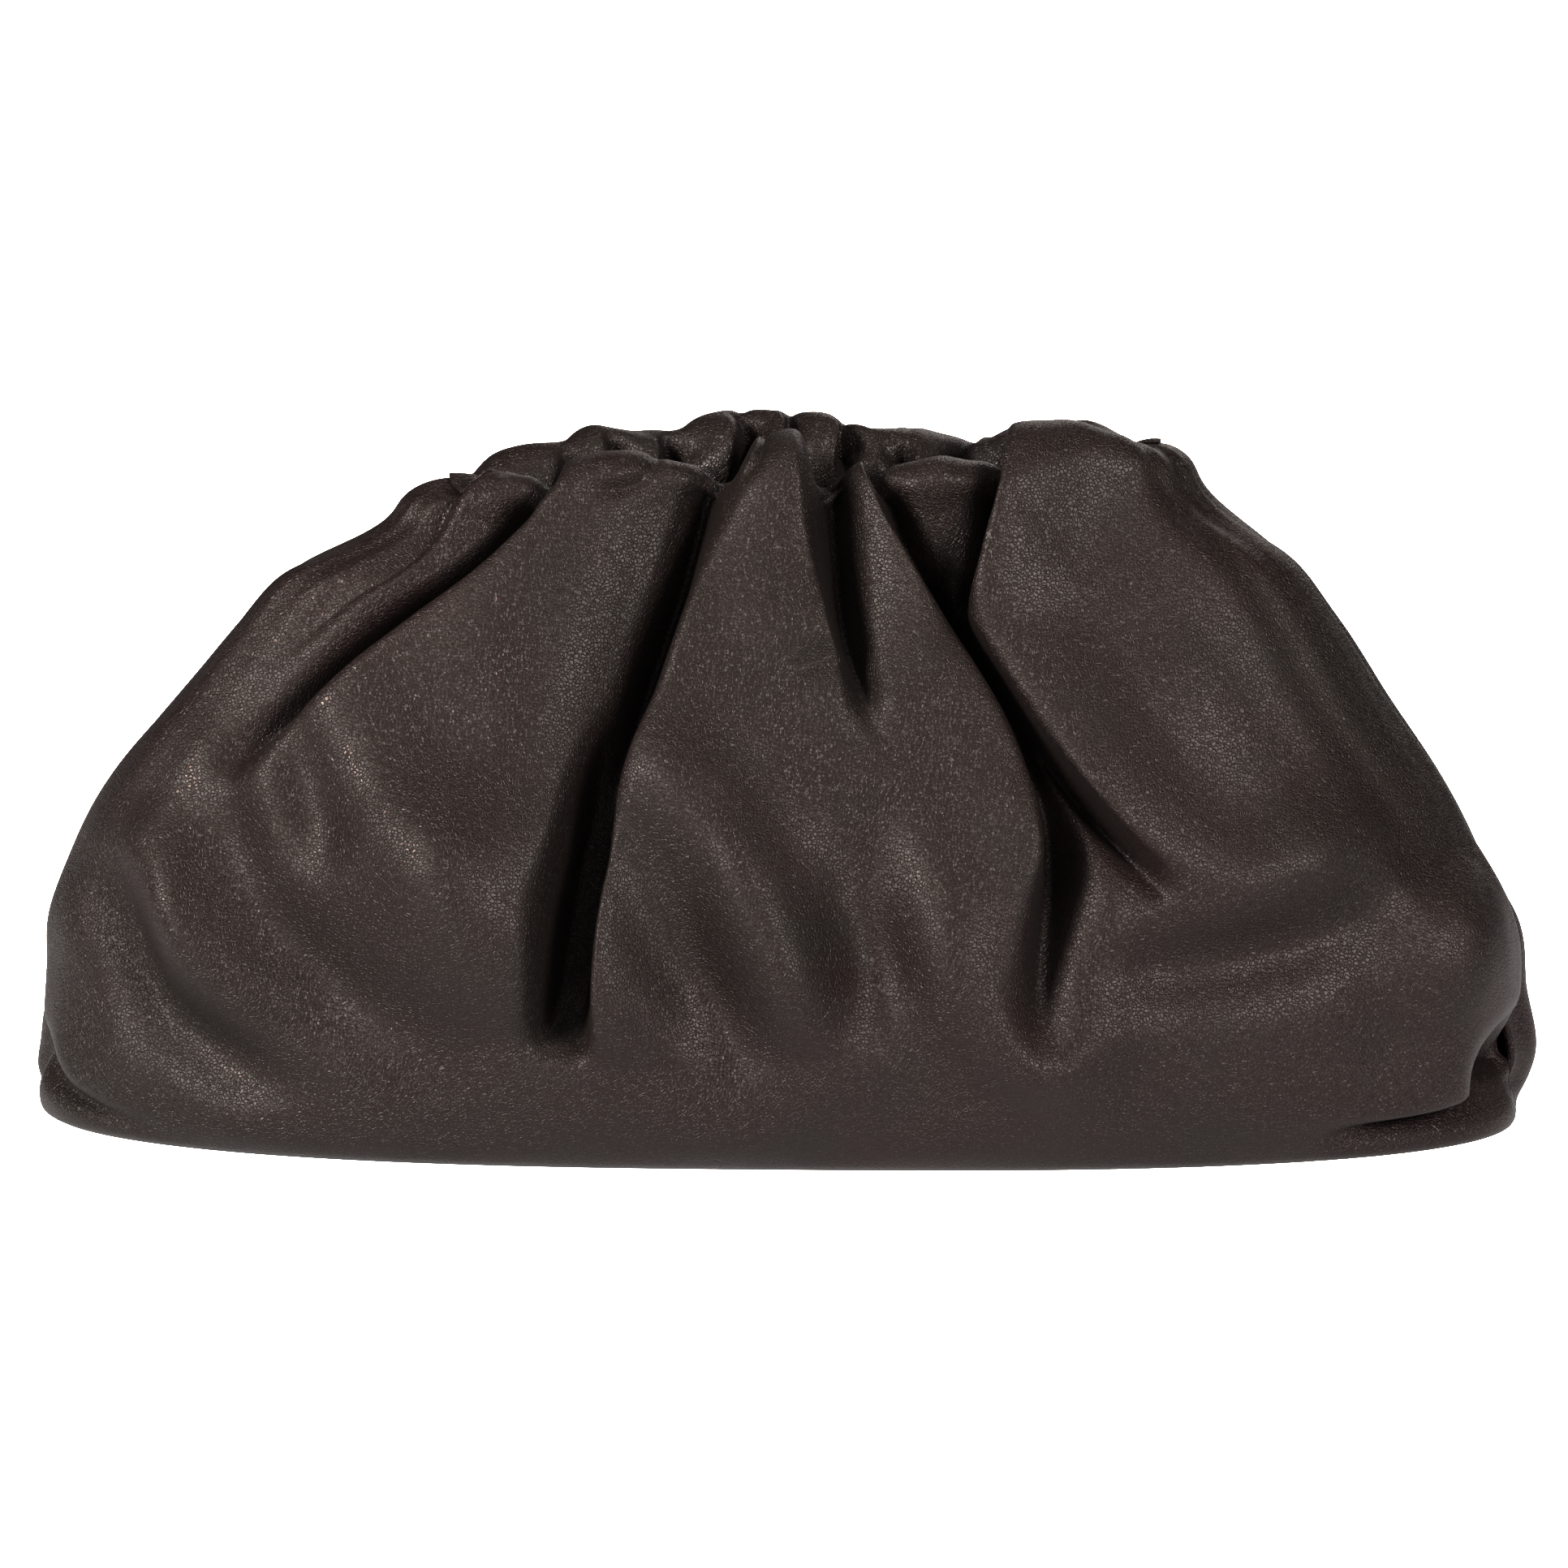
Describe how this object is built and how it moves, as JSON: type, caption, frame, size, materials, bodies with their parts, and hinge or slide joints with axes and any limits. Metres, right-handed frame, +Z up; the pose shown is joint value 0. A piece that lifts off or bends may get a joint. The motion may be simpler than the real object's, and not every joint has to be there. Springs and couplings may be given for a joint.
{
  "type": "gathered leather pouch bag",
  "caption": "Soft leather clutch bag with a gathered mouth, two lips over a hidden frame and a flat base to stand on.",
  "frame": {"origin": "on the surface the bag stands on, under the middle of the bag's width and depth", "axes": "+Z up, +X along the bag's width towards its right end seen from the front, front towards -Y"},
  "size_m": [0.3824, 0.1528, 0.1812],
  "materials": {
    "front_leather": "soft calfskin, fine grain, low sheen",
    "back_leather": "soft calfskin, fine grain, low sheen",
    "base_leather": "soft calfskin, fine grain, low sheen",
    "patch_leather": "soft calfskin, fine grain, low sheen",
    "frame_steel": "spring steel strip, brushed"
  },
  "bodies": {
    "root": {"front_panel": "front_leather", "back_panel": "back_leather", "base_panel": "base_leather", "seam_patch_left": "patch_leather", "seam_patch_right": "patch_leather", "mouth_frame": "frame_steel"}
  },
  "joints": []
}
